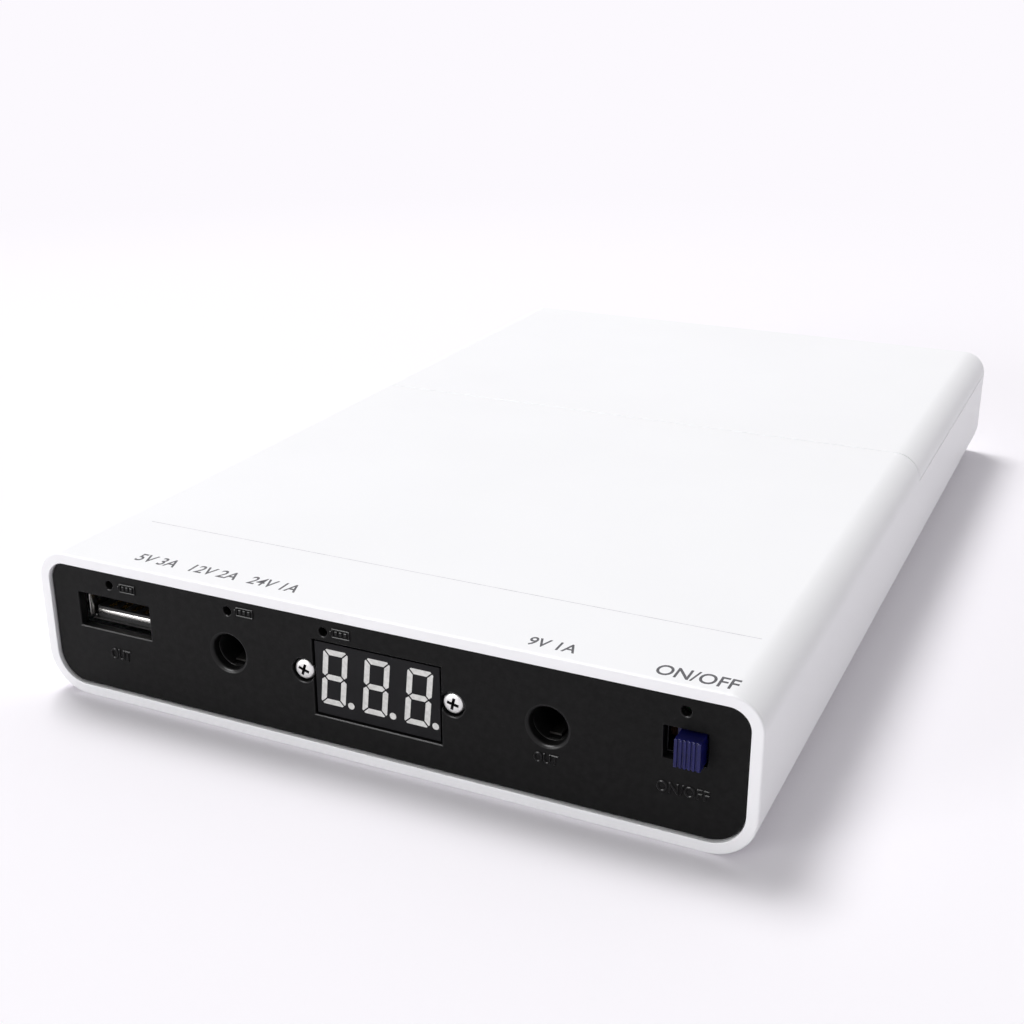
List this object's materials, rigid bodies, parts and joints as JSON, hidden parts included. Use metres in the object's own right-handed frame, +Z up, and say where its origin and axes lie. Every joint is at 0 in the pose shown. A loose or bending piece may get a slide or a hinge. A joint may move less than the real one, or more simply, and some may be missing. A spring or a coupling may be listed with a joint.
{
  "type": "power bank",
  "caption": "Flat desktop power bank: white case with a sliding battery cover, black front plate with USB and round DC sockets, digital display and slide switch.",
  "frame": {"origin": "middle of the whole object's footprint, on the surface it stands on", "axes": "+X to the right seen from the front, +Y from the front plate to the rear, +Z up"},
  "size_m": [0.12, 0.1918, 0.0246],
  "materials": {
    "shell_white": "fine matte moulded plastic",
    "cover_white": "fine matte moulded plastic",
    "plate_black": "fine grained",
    "screw_metal": "nickel plated",
    "holder_black": "matte",
    "display_face": "smooth dark face, with a white body behind it",
    "display_segments": "cloudy, unlit",
    "circuit_board": "green lacquer",
    "pin_metal": "tinned",
    "socket_steel": "plated sheet",
    "tongue_black": "smooth",
    "contact_gold": "plated",
    "jack_black": "matte",
    "base_brown": "pressed laminate",
    "knob_navy": "satin",
    "lamp_body": "cloudy, unlit",
    "inductor_grey": "matte",
    "capacitor_can": "bright can",
    "chip_black": "matte",
    "cell_wrap": "smooth shrink wrap",
    "strip_nickel": "rolled sheet",
    "spring_steel": "drawn wire",
    "lead_red": "smooth",
    "lead_black": "smooth"
  },
  "bodies": {
    "housing": {"main_shell": "shell_white", "front_plate": "plate_black", "plate_screws": "screw_metal", "display_holder": "holder_black", "display_holder_screws": "screw_metal", "display_module": "display_face", "display_segments": "display_segments", "display_board": "circuit_board", "display_pins": "pin_metal", "main_board": "circuit_board", "usb_shell": "socket_steel", "usb_tongue": "tongue_black", "usb_contacts": "contact_gold", "switch_frame": "socket_steel", "switch_base": "base_brown", "switch_pins": "pin_metal", "capacitors": "capacitor_can", "control_chips": "chip_black", "cell_holder": "holder_black", "cell_holder_screws": "screw_metal", "positive_strip": "strip_nickel", "negative_strip": "strip_nickel", "negative_springs": "spring_steel", "red_lead": "lead_red", "black_lead": "lead_black", "left_jack_body": "jack_black", "left_jack_pin": "pin_metal", "left_jack_spring": "pin_metal", "right_jack_body": "jack_black", "right_jack_pin": "pin_metal", "right_jack_spring": "pin_metal", "lamp_1": "lamp_body", "lamp_2": "lamp_body", "lamp_3": "lamp_body", "lamp_4": "lamp_body", "inductor_1": "inductor_grey", "inductor_2": "inductor_grey", "inductor_3": "inductor_grey", "cell_1": "cell_wrap", "cell_2": "cell_wrap", "cell_3": "cell_wrap", "cell_4": "cell_wrap", "cell_5": "cell_wrap", "cell_6": "cell_wrap"},
    "cover": {"battery_cover": "cover_white"},
    "knob": {"switch_knob": "knob_navy"}
  },
  "joints": [
    {"name": "cover_slide", "type": "slide", "parent": "housing", "child": "cover", "axis": [0, 1, 0], "range_m": [0, 0.088]},
    {"name": "knob_slide", "type": "slide", "parent": "housing", "child": "knob", "axis": [-1, 0, 0], "range_m": [0, 0.002]}
  ]
}
